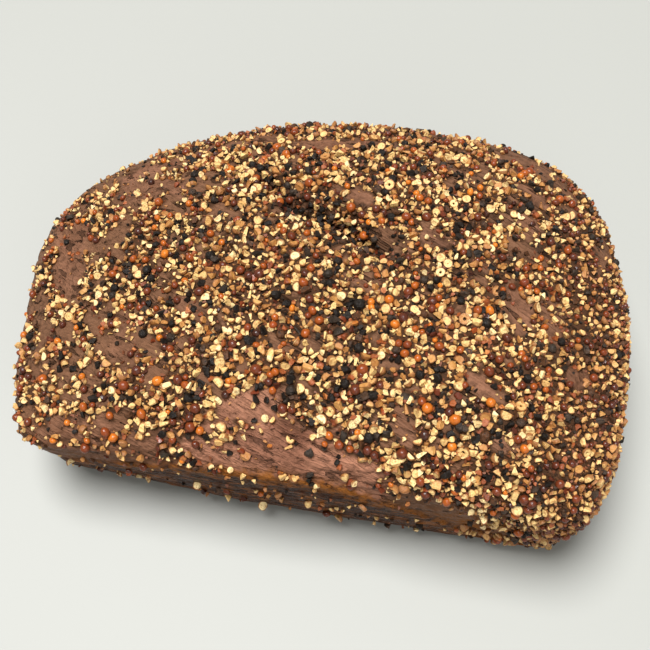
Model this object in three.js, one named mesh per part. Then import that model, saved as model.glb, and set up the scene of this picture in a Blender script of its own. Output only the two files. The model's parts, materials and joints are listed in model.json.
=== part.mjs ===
// A pepper-crusted deli loaf, about 220 x 144 x 78 mm, made as one solid body.
//
// Frame: millimetres, +Z up, the flat underside on z = 0. +X runs along the long axis towards the blunt,
// taller end, -Y is the side with the bare, steep flank. The origin is under the middle of the loaf's box.
//
// The body starts as a unit loaf turned on a lathe. Each of its points carries an angle round the crown axis,
// a share of the reach to the plan outline, and a level: -1 on the underside, 0 at the widest height, 1 at the
// crown. place() moves it to its real position with the formulas for the plan outline, the wall and the crown.
import * as THREE from 'three';
import { mergeVertices } from 'three/addons/utils/BufferGeometryUtils.js';

// ---- Driving dimensions, in millimetres and degrees -----------------------------------------------------

// Plan outline, measured from the crown axis to each side.
const REACH_LEFT = 126.7;
const REACH_RIGHT = 89.5;
const REACH_NEAR = 64.2;
const REACH_FAR = 78.7;

// How square each quarter of the outline is: 2 is an oval, 8 nearly a right-angled corner.
const SQUARENESS_NEAR_LEFT = 7.5;
const SQUARENESS_FAR_LEFT = 2.3;
const SQUARENESS_FAR_RIGHT = 2.75;
const SQUARENESS_NEAR_RIGHT = 4.2;

// Swells (+) and flats (-) of the outline: direction, how far out, and how wide they spread.
const OUTLINE_SWELLS = [
  { at: 201, out: -3.5, spread: 6 },
  { at: 210, out: 7, spread: 3 },
  { at: 172, out: 6, spread: 18 },
  { at: 22, out: -5, spread: 18 },
  { at: 345, out: -2, spread: 14 },
  { at: 319, out: 6, spread: 8 },
];

// Heights. The crown plane tilts: it rises to the right and falls towards the far side.
const CROWN_HEIGHT = 77;
const CROWN_RISE_PER_MM_RIGHT = 0.05;
const CROWN_FALL_PER_MM_FAR = 0.05;
const WIDEST_HEIGHT = 36;

// The near side has a steep wall with a sharp upper lip, drawn in a little in its middle by LIP_PINCH, a share
// of the reach.
const NEAR_DIRECTION = -95;
const NEAR_SPREAD = 45;
const NEAR_WIDEST_RISE = 4;
const LIP_DIRECTION = -88;
const LIP_SPREAD = 20;
const LIP_PINCH = 0.07;

// The left end tapers down low, and its near corner is a crisp lip that overhangs the wall by
// CORNER_UNDERCUT, a share of the reach.
const LEFT_DIRECTION = 180;
const LEFT_SPREAD = 50;
const LEFT_WIDEST_FALL = 14;
const CORNER_DIRECTION = 209;
const CORNER_SPREAD = 14;
const CORNER_WIDEST_RISE = 14;
const CORNER_UNDERCUT = 0.06;

// Shoulder: 2 is a round quarter, 8 a crisp lip. CROWN_DROP is how far the crown sinks on its way to the edge.
const SHOULDER = 3;
const NEAR_SHOULDER_EXTRA = 5;
const CORNER_SHOULDER_EXTRA = 3;
const CROWN_DROP = 10;
const NEAR_DROP_EXTRA = 12;
const LEFT_DROP_EXTRA = 16;
const CROWN_DROP_POWER = 2.5;

// Underside: flat, a little smaller than the outline, with a tucked-in lower edge.
const BASE_SHARE = 0.93;
const WALL_STEPS = [
  { level: 0.08, share: 0.965 },
  { level: 0.25, share: 0.9825 },
  { level: 0.6, share: 0.995 },
];

// Valleys and hollows pressed into the crown: a straight run between two plan points, depth and half-width.
const HOLLOWS = [
  { from: [-30, 42], to: [-4, 18], deep: 2.5, wide: 11 },
  { from: [-4, 18], to: [32, -7], deep: 2, wide: 9 },
  { from: [-60, -18], to: [-34, -30], deep: 1.5, wide: 12 },
  { from: [58, 20], to: [70, -4], deep: 1.5, wide: 10 },
];

// The hollows have their full depth from this height up.
const HOLLOWS_FULL_HEIGHT = 62;

// How finely the unit loaf is turned, and how close two of its points are merged.
const TURN_SEGMENTS = 104;
const SHOULDER_STEPS = 22;
const BASE_RINGS = [0.35, 0.7];
const MERGE_DISTANCE = 1e-4;

// ---- Small helpers --------------------------------------------------------------------------------------

// A smooth swell around a direction: 1 in the middle, near 0 past twice its spread.
function swell(angle, directionDegrees, spreadDegrees) {
  const offset = angle - THREE.MathUtils.degToRad(directionDegrees);
  const turned = Math.atan2(Math.sin(offset), Math.cos(offset));
  return Math.exp(-((turned / THREE.MathUtils.degToRad(spreadDegrees)) ** 2));
}

// Distance in plan from a point to a straight run.
function distanceToRun(x, y, run) {
  const line = new THREE.Line3(new THREE.Vector3(...run.from, 0), new THREE.Vector3(...run.to, 0));
  const nearest = line.closestPointToPoint(new THREE.Vector3(x, y, 0), true, new THREE.Vector3());
  return Math.hypot(x - nearest.x, y - nearest.y);
}

// ---- The loaf's formulas --------------------------------------------------------------------------------

// Distance from the crown axis to the plan outline in one direction.
function outlineReach(angle) {
  const c = Math.cos(angle);
  const s = Math.sin(angle);
  const alongReach = c >= 0 ? REACH_RIGHT : REACH_LEFT;
  const acrossReach = s >= 0 ? REACH_FAR : REACH_NEAR;
  const rightSide = s >= 0 ? SQUARENESS_FAR_RIGHT : SQUARENESS_NEAR_RIGHT;
  const leftSide = s >= 0 ? SQUARENESS_FAR_LEFT : SQUARENESS_NEAR_LEFT;
  const power = c >= 0 ? rightSide : leftSide;
  const oval = (Math.abs(c) / alongReach) ** power + (Math.abs(s) / acrossReach) ** power;
  const swells = OUTLINE_SWELLS.reduce((sum, lobe) => sum + lobe.out * swell(angle, lobe.at, lobe.spread), 0);
  return oval ** (-1 / power) + swells;
}

// What changes round the loaf: the widest height, how crisp the shoulder is, how far the crown sinks, and the
// share of the reach by which the foot of the wall is set in.
function sideShape(angle) {
  const near = swell(angle, NEAR_DIRECTION, NEAR_SPREAD);
  const left = swell(angle, LEFT_DIRECTION, LEFT_SPREAD);
  const corner = swell(angle, CORNER_DIRECTION, CORNER_SPREAD);
  return {
    widest: WIDEST_HEIGHT + NEAR_WIDEST_RISE * near - LEFT_WIDEST_FALL * left + CORNER_WIDEST_RISE * corner,
    shoulder: SHOULDER + NEAR_SHOULDER_EXTRA * near + CORNER_SHOULDER_EXTRA * corner,
    drop: CROWN_DROP + NEAR_DROP_EXTRA * near + LEFT_DROP_EXTRA * left,
    undercut: CORNER_UNDERCUT * corner,
  };
}

// Moves one point of the unit loaf, whose z is its level, to its place on the real one.
function place(point) {
  const angle = Math.atan2(point.y, point.x);
  const share = Math.hypot(point.x, point.y);
  const reach = outlineReach(angle);
  const side = sideShape(angle);
  if (point.z <= 0) {
    const height = side.widest * (1 + point.z);
    const radius = reach * share * (1 + side.undercut * point.z);
    return point.set(Math.cos(angle) * radius, Math.sin(angle) * radius, height);
  }
  const climb = Math.atan2(point.z, share);
  const rise = Math.sin(climb) ** (2 / side.shoulder);
  const pinch = 1 - LIP_PINCH * swell(angle, LIP_DIRECTION, LIP_SPREAD) * rise;
  const radial = pinch * Math.max(Math.cos(climb), 0) ** (2 / side.shoulder);
  const x = Math.cos(angle) * reach * radial;
  const y = Math.sin(angle) * reach * radial;
  const plane = CROWN_HEIGHT + CROWN_RISE_PER_MM_RIGHT * x - CROWN_FALL_PER_MM_FAR * y;
  const crown = plane - side.drop * radial ** CROWN_DROP_POWER;
  return point.set(x, y, side.widest + (crown - side.widest) * rise);
}

// Presses the hollows into the crown, fading to nothing down the wall.
function pressHollows(point) {
  const onCrown = THREE.MathUtils.smoothstep(point.z, WIDEST_HEIGHT, HOLLOWS_FULL_HEIGHT);
  for (const hollow of HOLLOWS) {
    const away = distanceToRun(point.x, point.y, hollow) / hollow.wide;
    point.z -= onCrown * hollow.deep * Math.exp(-away * away);
  }
  return point;
}

// ---- The piece ------------------------------------------------------------------------------------------

// Profile of the unit loaf: x is the share of the reach, y the level. It starts and ends on the axis.
function unitProfile() {
  const points = [new THREE.Vector2(0, -1)];
  for (const share of BASE_RINGS) points.push(new THREE.Vector2(share * BASE_SHARE, -1));
  points.push(new THREE.Vector2(BASE_SHARE, -1));
  for (const step of WALL_STEPS) points.push(new THREE.Vector2(step.share, step.level - 1));
  for (let i = 0; i <= SHOULDER_STEPS; i += 1) {
    const climb = (i / SHOULDER_STEPS) * (Math.PI / 2);
    const share = i === SHOULDER_STEPS ? 0 : Math.cos(climb);
    points.push(new THREE.Vector2(share, Math.sin(climb)));
  }
  return points;
}

function makeLoafGeometry() {
  const turned = new THREE.LatheGeometry(unitProfile(), TURN_SEGMENTS);
  turned.rotateX(Math.PI / 2);
  turned.deleteAttribute('uv');
  turned.deleteAttribute('normal');
  const loaf = mergeVertices(turned, MERGE_DISTANCE);
  const position = loaf.getAttribute('position');
  const point = new THREE.Vector3();
  for (let i = 0; i < position.count; i += 1) {
    place(point.fromBufferAttribute(position, i));
    position.setXYZ(i, point.x, point.y, point.z);
  }
  centreInPlan(loaf);
  for (let i = 0; i < position.count; i += 1) {
    pressHollows(point.fromBufferAttribute(position, i));
    position.setXYZ(i, point.x, point.y, point.z);
  }
  loaf.computeVertexNormals();
  return loaf;
}

// Shifts the loaf so that the middle of its box is over the origin.
function centreInPlan(geometry) {
  geometry.computeBoundingBox();
  const middle = geometry.boundingBox.getCenter(new THREE.Vector3());
  geometry.translate(-middle.x, -middle.y, 0);
}

const CRUST_BROWN = 0x5c3a2a;
const crust = new THREE.MeshStandardMaterial({ color: CRUST_BROWN, roughness: 0.72, metalness: 0 });

const loaf = new THREE.Mesh(makeLoafGeometry(), crust);
loaf.name = 'loaf';

const deliLoaf = new THREE.Group();
deliLoaf.add(loaf);

export default deliLoaf;
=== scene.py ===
"""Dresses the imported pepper-crusted deli loaf: its fibrous crust and the pepper and seeds stuck to it.

The CAD node is one plain solid, the envelope of block and topping together. The crust is a refined copy of
it, set in by the height of the topping and worked with lumps, folds, fibres and cracks. The topping is
scattered over that crust by Geometry Nodes, one sort of grain at a time. Lengths named *_mm are in
millimetres, in the loaf's own frame: +X towards the tall end, -Y towards the bare flank, +Z up. Everything
built is in metres.
"""
from __future__ import annotations

import json
import logging
import math
from dataclasses import dataclass, field
from enum import Enum

import bmesh
import bpy
import numpy as np
from mathutils import Matrix, Vector

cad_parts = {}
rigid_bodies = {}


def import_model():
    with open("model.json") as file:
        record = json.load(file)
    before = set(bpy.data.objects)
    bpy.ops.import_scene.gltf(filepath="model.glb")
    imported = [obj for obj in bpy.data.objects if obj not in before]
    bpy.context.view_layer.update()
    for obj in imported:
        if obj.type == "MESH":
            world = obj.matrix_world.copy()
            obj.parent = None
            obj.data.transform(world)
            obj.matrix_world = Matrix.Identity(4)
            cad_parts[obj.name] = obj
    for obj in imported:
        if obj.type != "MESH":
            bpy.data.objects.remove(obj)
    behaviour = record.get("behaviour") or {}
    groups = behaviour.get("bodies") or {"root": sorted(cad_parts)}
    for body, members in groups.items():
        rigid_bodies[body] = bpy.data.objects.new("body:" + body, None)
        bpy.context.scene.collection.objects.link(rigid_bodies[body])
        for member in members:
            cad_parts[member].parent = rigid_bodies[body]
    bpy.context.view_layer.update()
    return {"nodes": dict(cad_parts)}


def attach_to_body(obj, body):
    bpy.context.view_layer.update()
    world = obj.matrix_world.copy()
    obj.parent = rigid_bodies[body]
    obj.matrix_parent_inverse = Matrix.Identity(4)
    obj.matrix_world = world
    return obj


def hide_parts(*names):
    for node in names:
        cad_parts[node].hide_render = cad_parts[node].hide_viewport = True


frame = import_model()

LOG = logging.getLogger("deli_loaf")
MM = 0.001
ROOT_BODY = "root"
LOAF_NODE = "loaf"

# Direction in plan in which the meat's fibres run, in degrees from +X.
FIBRE_TURN = -24.0

Colour = tuple[float, float, float, float]
Socket = bpy.types.NodeSocket


def colour(red: int, green: int, blue: int) -> Colour:
    """Turns an 8-bit screen colour into the linear one that shaders use.

    Args:
        red: Red, 0 to 255.
        green: Green, 0 to 255.
        blue: Blue, 0 to 255.

    Returns:
        Linear red, green, blue and an alpha of 1.
    """
    def linear(value: int) -> float:
        """One channel, from its screen value to its linear one."""
        share = value / 255.0
        return share / 12.92 if share <= 0.04045 else ((share + 0.055) / 1.055) ** 2.4

    return (linear(red), linear(green), linear(blue), 1.0)


def smooth_step(values: np.ndarray, low: float, high: float) -> np.ndarray:
    """Eases values from 0 at low to 1 at high.

    Args:
        values: The numbers to ease.
        low: Where the result is 0.
        high: Where the result is 1. It may be the smaller of the two.

    Returns:
        The eased numbers, 0 to 1.
    """
    share = np.clip((values - low) / (high - low), 0.0, 1.0)
    return share * share * (3.0 - 2.0 * share)


# ---- Solid noise ----------------------------------------------------------------------------------------


class SolidNoise:
    """Gradient noise in space, the same on every run, for working the crust."""

    TABLE_SIZE = 256
    GAIN = 1.6
    LAYER_SHIFT = 7.3

    def __init__(self, seed: int) -> None:
        """Draws the lattice directions.

        Args:
            seed: Fixes the pattern.
        """
        rng = np.random.default_rng(seed)
        self._order = np.tile(rng.permutation(self.TABLE_SIZE), 2)
        directions = rng.normal(size=(self.TABLE_SIZE, 3))
        self._directions = directions / np.linalg.norm(directions, axis=1, keepdims=True)

    def __call__(self, points: np.ndarray) -> np.ndarray:
        """Samples the noise.

        Args:
            points: N by 3 positions, in lattice steps.

        Returns:
            N values from about -1 to 1.
        """
        cell = np.floor(points).astype(int)
        offset = points - cell
        ease = offset ** 3 * (offset * (offset * 6.0 - 15.0) + 10.0)
        total = np.zeros(len(points))
        for corner in np.ndindex(2, 2, 2):
            step = np.array(corner)
            index = (cell + step) % self.TABLE_SIZE
            hashed = self._order[self._order[self._order[index[:, 0]] + index[:, 1]] + index[:, 2]]
            reach = np.einsum("ij,ij->i", self._directions[hashed], offset - step)
            weight = np.prod(np.where(step == 1, ease, 1.0 - ease), axis=1)
            total += weight * reach
        return total * self.GAIN

    def layered(self, points: np.ndarray, layers: int = 3) -> np.ndarray:
        """Adds up finer and weaker copies of the noise.

        Args:
            points: N by 3 positions, in steps of the coarsest layer.
            layers: How many copies.

        Returns:
            N values from about -1 to 1.
        """
        shares = [0.5 ** layer for layer in range(layers)]
        total = sum(share * self(points / share + self.LAYER_SHIFT * layer)
                    for layer, share in enumerate(shares))
        return total / sum(shares)


# ---- Node writing ---------------------------------------------------------------------------------------


class NodeWriter:
    """Adds nodes to a tree, with their inputs given as values or as other nodes' sockets."""

    def __init__(self, tree: bpy.types.NodeTree) -> None:
        """Keeps the tree to write to.

        Args:
            tree: A shader or Geometry Nodes tree.
        """
        self.tree = tree

    @staticmethod
    def pick(sockets: bpy.types.bpy_prop_collection, key: int | str) -> Socket:
        """Finds a socket by its index or by the name that its enabled one has.

        Args:
            sockets: A node's inputs or outputs.
            key: Index or name.

        Returns:
            The socket.
        """
        if isinstance(key, int):
            return sockets[key]
        return next(socket for socket in sockets if socket.name == key and socket.enabled)

    def add(self, kind: str, inputs: dict[int | str, object] | None = None,
            **settings: object) -> bpy.types.Node:
        """Adds one node.

        Args:
            kind: The node's type name.
            inputs: Input sockets' values or the sockets that feed them.
            **settings: The node's own properties.

        Returns:
            The new node.
        """
        node = self.tree.nodes.new(kind)
        for name, value in settings.items():
            setattr(node, name, value)
        for key, value in (inputs or {}).items():
            self.feed(self.pick(node.inputs, key), value)
        return node

    def feed(self, target: Socket, value: object) -> None:
        """Links a socket to the target, or sets the target's value.

        Args:
            target: An input socket.
            value: A socket, or a plain value.
        """
        if isinstance(value, bpy.types.NodeSocket):
            self.tree.links.new(value, target)
        else:
            target.default_value = value

    def maths(self, operation: str, first: object, second: object = 0.0, third: object = 0.0) -> Socket:
        """Adds a Math node.

        Args:
            operation: Its operation.
            first: First number or socket.
            second: Second number or socket.
            third: Third number or socket, where the operation has one.

        Returns:
            Its result.
        """
        return self.add("ShaderNodeMath", {0: first, 1: second, 2: third}, operation=operation).outputs[0]


@dataclass(frozen=True)
class Pattern:
    """A noise pattern: its step, the layers of finer noise, and how far it is twisted and drawn out."""

    step_mm: float
    detail: float = 3.0
    roughness: float = 0.55
    twist: float = 0.0
    turn: float = 0.0
    draw: float = 1.0


class ShaderSheet(NodeWriter):
    """One material with the few kinds of node that every finish of the loaf shares."""

    PER_METRE = 1000.0

    def __init__(self, name: str) -> None:
        """Makes the material with its shader and output.

        Args:
            name: The material's name.
        """
        self.material = bpy.data.materials.new(name)
        self.material.use_nodes = True
        super().__init__(self.material.node_tree)
        self.tree.nodes.clear()
        self.shader = self.add("ShaderNodeBsdfPrincipled")
        output = self.add("ShaderNodeOutputMaterial")
        self.tree.links.new(self.shader.outputs[0], output.inputs[0])

    def attribute(self, name: str, output: str = "Fac") -> Socket:
        """Reads a named attribute of the mesh.

        Args:
            name: The attribute.
            output: Which reading of it: Fac or Vector.

        Returns:
            The reading.
        """
        return self.add("ShaderNodeAttribute", attribute_name=name).outputs[output]

    def noise(self, pattern: Pattern) -> Socket:
        """Adds a noise texture in the object's own millimetres.

        Args:
            pattern: The pattern. It is drawn out along its turn, a direction in plan in degrees.

        Returns:
            The noise, about 0.3 to 0.7.
        """
        coordinates = self.add("ShaderNodeTexCoord").outputs["Object"]
        turned = self.add("ShaderNodeMapping", {"Vector": coordinates}, vector_type="POINT")
        turned.inputs["Rotation"].default_value = (0, 0, math.radians(-pattern.turn))
        scaled = self.add("ShaderNodeMapping", {"Vector": turned.outputs[0]}, vector_type="POINT")
        scaled.inputs["Scale"].default_value = [share * self.PER_METRE for share in (pattern.draw, 1.0, 1.0)]
        return self.add("ShaderNodeTexNoise", {
            "Vector": scaled.outputs[0],
            "Scale": 1.0 / pattern.step_mm,
            "Detail": pattern.detail,
            "Roughness": pattern.roughness,
            "Distortion": pattern.twist,
        }).outputs["Fac"]

    def spread(self, value: Socket, low: float, high: float, to_low: float = 0.0,
               to_high: float = 1.0) -> Socket:
        """Stretches a range of values to another, held at both ends.

        Args:
            value: What to stretch.
            low: Value that becomes to_low.
            high: Value that becomes to_high.
            to_low: Result at low.
            to_high: Result at high.

        Returns:
            The stretched value.
        """
        inputs = {"Value": value, "From Min": low, "From Max": high, "To Min": to_low, "To Max": to_high}
        return self.add("ShaderNodeMapRange", inputs, clamp=True).outputs[0]

    def ramp(self, value: Socket, stops: list[tuple[float, Colour]], steps: bool = False) -> Socket:
        """Colours a value.

        Args:
            value: A number from 0 to 1.
            stops: Positions and their colours, in rising order.
            steps: True for plain steps in place of blends.

        Returns:
            The colour.
        """
        node = self.add("ShaderNodeValToRGB", {"Fac": value})
        elements = node.color_ramp.elements
        node.color_ramp.interpolation = "CONSTANT" if steps else "LINEAR"
        while len(elements) < len(stops):
            elements.new(1.0)
        for element, (position, tone) in zip(elements, stops):
            element.position = position
            element.color = tone
        return node.outputs["Color"]

    def mix(self, share: object, first: object, second: object, blend: str = "MIX") -> Socket:
        """Mixes two colours.

        Args:
            share: Weight of the second, 0 to 1.
            first: Colour or socket.
            second: Colour or socket.
            blend: Blend mode.

        Returns:
            The mixed colour.
        """
        node = self.add("ShaderNodeMix", data_type="RGBA", blend_type=blend, clamp_factor=True)
        for key, value in ((0, share), (6, first), (7, second)):
            self.feed(node.inputs[key], value)
        return node.outputs[2]

    def shade(self, tone: Socket, strength: Socket) -> Socket:
        """Multiplies a colour by a strength.

        Args:
            tone: The colour.
            strength: What each channel is multiplied by.

        Returns:
            The shaded colour.
        """
        grey = self.add("ShaderNodeCombineColor", {0: strength, 1: strength, 2: strength}).outputs[0]
        return self.mix(1.0, tone, grey, blend="MULTIPLY")

    def bump(self, height: Socket, depth_mm: float, under: Socket | None = None) -> Socket:
        """Turns a height into a surface normal.

        Args:
            height: The height, 0 to 1.
            depth_mm: How deep a height of 1 is.
            under: The normal of a coarser bump below this one.

        Returns:
            The normal.
        """
        inputs = {"Height": height, "Distance": depth_mm * MM, "Strength": 1.0}
        if under is not None:
            inputs["Normal"] = under
        return self.add("ShaderNodeBump", inputs).outputs[0]

    def dress(self, **inputs: object) -> bpy.types.Material:
        """Sets the shader's own sockets.

        Args:
            **inputs: Values or sockets by socket name, with _ for a space.

        Returns:
            The finished material.
        """
        for name, value in inputs.items():
            self.feed(self.shader.inputs[name.replace("_", " ").title().replace("Ior", "IOR")], value)
        return self.material


# ---- Finishes -------------------------------------------------------------------------------------------


@dataclass(frozen=True)
class CrustFinish:
    """Cured skin: mauve-brown and fibrous where bare, with painted shade between the grains, streaked on the
    flank.
    """

    bare_light: Colour = colour(164, 114, 90)
    bare_dark: Colour = colour(112, 73, 56)
    skin: Colour = colour(112, 79, 58)
    # Dark brown painted as shade where the topping covers the skin.
    shade_between_grains: Colour = colour(60, 40, 26)
    # Near-black brown: random dark mottle on the crown, and painted shade in the crease.
    dark_mottle_and_crease_shade: Colour = colour(32, 20, 12)
    # Dark brown of the bare near flank: partly its own darker skin, partly painted shade on the near side.
    flank: Colour = colour(54, 25, 8)
    flank_streak: Colour = colour(146, 88, 40)
    ochre: Colour = colour(132, 80, 32)
    fibres: Pattern = Pattern(1.1, detail=3.0, roughness=0.48, twist=0.7, turn=FIBRE_TURN, draw=0.08)
    streaks: Pattern = Pattern(2.6, detail=4.0, roughness=0.65, twist=0.3, turn=-6.0, draw=0.3)
    cracks: Pattern = Pattern(3.2, detail=2.0, roughness=0.5, twist=0.6, turn=FIBRE_TURN, draw=0.12)
    broad: Pattern = Pattern(14.0)
    mottle: Pattern = Pattern(3.2, detail=4.0, roughness=0.65)
    pores: Pattern = Pattern(0.55, roughness=0.6)
    crack_depth_mm: float = 1.1
    streak_depth_mm: float = 1.4
    fibre_depth_mm: float = 1.3
    pore_depth_mm: float = 0.25
    crease_shade_strength: float = 0.8
    flank_polish: float = 0.1
    shine: float = 0.05

    def build(self) -> bpy.types.Material:
        """Writes the material.

        Returns:
            The crust material.
        """
        sheet = ShaderSheet("cured_crust")
        fibres = sheet.noise(self.fibres)
        streaks = sheet.noise(self.streaks)
        whole = sheet.spread(sheet.noise(self.cracks), 0.34, 0.42)
        mottle = sheet.noise(self.mottle)
        flank = sheet.attribute("flank")
        tone = sheet.mix(flank, self._crown_tone(sheet, fibres, whole, mottle),
                         self._flank_tone(sheet, streaks, mottle))
        stained = sheet.maths("MULTIPLY", sheet.attribute("ochre"), sheet.spread(mottle, 0.4, 0.6))
        tone = sheet.mix(stained, tone, self.ochre)
        # Painted shade: the crease is darkened towards near-black brown.
        tone = sheet.mix(sheet.maths("MULTIPLY", sheet.attribute("crease"), self.crease_shade_strength), tone, self.dark_mottle_and_crease_shade)

        rough = sheet.spread(mottle, 0.35, 0.65, 0.36, 0.56)
        rough = sheet.maths("ADD", rough, sheet.spread(sheet.attribute("coat"), 0.1, 0.9, 0.0, 0.25))
        rough = sheet.maths("SUBTRACT", rough, sheet.maths("MULTIPLY", flank, self.flank_polish))
        cracked = sheet.bump(whole, self.crack_depth_mm)
        grooved = sheet.bump(sheet.maths("MULTIPLY", streaks, flank), self.streak_depth_mm, cracked)
        folded = sheet.bump(fibres, self.fibre_depth_mm, grooved)
        pored = sheet.bump(sheet.noise(self.pores), self.pore_depth_mm, folded)
        return sheet.dress(base_color=tone, roughness=rough, normal=pored, specular_ior_level=self.shine)

    def _crown_tone(self, sheet: ShaderSheet, fibres: Socket, whole: Socket, mottle: Socket) -> Socket:
        """Mixes the colour of the skin on the crown: bare, or darkened with painted shade where the topping
        covers it.

        Args:
            sheet: The material.
            fibres: The fibres' pattern.
            whole: 0 in a crack to 1 where the skin is whole.
            mottle: The mottled pattern.

        Returns:
            The colour.
        """
        broad = sheet.noise(self.broad)
        skin = sheet.mix(sheet.spread(broad, 0.38, 0.62), self.bare_dark, self.bare_light)
        skin = sheet.mix(sheet.attribute("rosy"), self.skin, skin)
        # Painted shade: the skin darkens where the topping lies thick.
        skin = sheet.mix(sheet.spread(sheet.attribute("coat"), 0.1, 0.9, 0.0, 0.8), skin, self.shade_between_grains)
        skin = sheet.mix(sheet.spread(mottle, 0.5, 0.7, 0.0, 0.45), skin, self.dark_mottle_and_crease_shade)
        # Painted shade and highlight: the fibres' grooves are darkened and their ridges lightened, in step
        # with their bump.
        skin = sheet.shade(skin, sheet.spread(fibres, 0.34, 0.62, 0.84, 1.08))
        # Painted shade: the skin is darkened in its cracks.
        return sheet.shade(skin, sheet.spread(whole, 0.0, 1.0, 0.42, 1.0))

    def _flank_tone(self, sheet: ShaderSheet, streaks: Socket, mottle: Socket) -> Socket:
        """Mixes the colour of the bare flank.

        Args:
            sheet: The material.
            streaks: The streaks' pattern.
            mottle: The mottled pattern.

        Returns:
            The colour.
        """
        side = sheet.mix(sheet.spread(streaks, 0.48, 0.68), self.flank, self.flank_streak)
        return sheet.shade(side, sheet.spread(mottle, 0.4, 0.62, 0.6, 1.3))


@dataclass(frozen=True)
class CrackedPepperFinish:
    """Cracked white pepper: a cream to ochre inside with a darker heart, under a thin tan skin."""

    name: str = "cracked_pale_pepper"
    cream: Colour = colour(248, 225, 166)
    straw: Colour = colour(230, 194, 126)
    ochre: Colour = colour(190, 136, 72)
    heart: Colour = colour(160, 104, 52)
    skin_light: Colour = colour(170, 112, 58)
    skin_dark: Colour = colour(96, 52, 26)
    wobble: Pattern = Pattern(0.7, detail=2.0)
    skin_mottle: Pattern = Pattern(1.1, detail=2.0)
    patches: Pattern = Pattern(1.1, detail=2.0, roughness=0.6)
    grit: Pattern = Pattern(0.3, roughness=0.7)
    patch_depth_mm: float = 0.5
    grit_depth_mm: float = 0.16
    ring_strength: float = 0.4
    roughness: float = 0.45

    def build(self) -> bpy.types.Material:
        """Writes the material.

        Returns:
            The cracked pepper material.
        """
        sheet = ShaderSheet(self.name)
        in_grain = sheet.attribute("grain", "Vector")
        depth = sheet.add("ShaderNodeVectorMath", {0: in_grain}, operation="LENGTH").outputs["Value"]
        skin = sheet.mix(sheet.noise(self.skin_mottle), self.skin_light, self.skin_dark)
        tone = sheet.mix(sheet.spread(depth, 0.74, 0.92), self._inside_tone(sheet, depth), skin)
        grit = sheet.noise(self.grit)
        tone = sheet.mix(sheet.spread(grit, 0.5, 0.75, 0.0, 0.35), tone, self.ochre)
        patchy = sheet.noise(self.patches)
        tone = sheet.mix(sheet.spread(patchy, 0.52, 0.66, 0.0, 0.7), tone, self.skin_light)
        lumpy = sheet.bump(patchy, self.patch_depth_mm)
        gritty = sheet.bump(grit, self.grit_depth_mm, lumpy)
        return sheet.dress(base_color=tone, roughness=self.roughness, normal=gritty)

    def _inside_tone(self, sheet: ShaderSheet, depth: Socket) -> Socket:
        """Mixes the colour of a broken face: its heart, its pale flesh and a thin ring near its skin.

        Args:
            sheet: The material.
            depth: Distance from the whole grain's middle, 1 at its skin.

        Returns:
            The colour.
        """
        wobble = sheet.spread(sheet.noise(self.wobble), 0.3, 0.7, -0.1, 0.1)
        ring = sheet.maths("ADD", depth, wobble)
        stops = [(0.0, self.cream), (0.35, self.straw), (0.66, self.straw), (0.84, self.ochre),
                 (1.0, self.heart)]
        pale = sheet.ramp(sheet.attribute("tint"), stops)
        heart = sheet.mix(sheet.spread(ring, 0.04, 0.26, 0.35, 1.0), self.heart, pale)
        band = sheet.maths("MULTIPLY", sheet.spread(ring, 0.42, 0.5), sheet.spread(ring, 0.6, 0.52))
        return sheet.mix(sheet.maths("MULTIPLY", band, self.ring_strength), heart, self.ochre)


@dataclass(frozen=True)
class SeedFinish:
    """Whole seeds and husks: satin, from orange through chestnut to plum, with a small eye at one pole."""

    name: str = "whole_seed"
    lightest: Colour = colour(208, 118, 34)
    light: Colour = colour(168, 86, 28)
    deep: Colour = colour(122, 56, 24)
    deepest: Colour = colour(74, 36, 24)
    eye: Colour = colour(58, 32, 20)
    blotches: Pattern = Pattern(1.3, roughness=0.6)
    pits: Pattern = Pattern(0.4, detail=2.0)
    pit_depth_mm: float = 0.1
    roughness: float = 0.24
    shine: float = 0.34

    def build(self) -> bpy.types.Material:
        """Writes the material.

        Returns:
            The seed material.
        """
        sheet = ShaderSheet(self.name)
        pole = sheet.add("ShaderNodeSeparateXYZ", {0: sheet.attribute("grain", "Vector")}).outputs["Z"]
        stops = [(0.0, self.lightest), (0.22, self.light), (0.5, self.deep), (0.85, self.deepest)]
        hull = sheet.ramp(sheet.attribute("tint"), stops)
        blotched = sheet.spread(sheet.noise(self.blotches), 0.45, 0.7, 0.0, 0.55)
        tone = sheet.mix(blotched, hull, self.deep)
        tone = sheet.mix(sheet.spread(pole, 0.93, 0.99), tone, self.eye)
        pitted = sheet.bump(sheet.noise(self.pits), self.pit_depth_mm)
        return sheet.dress(base_color=tone, roughness=self.roughness, normal=pitted,
                           specular_ior_level=self.shine)


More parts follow.
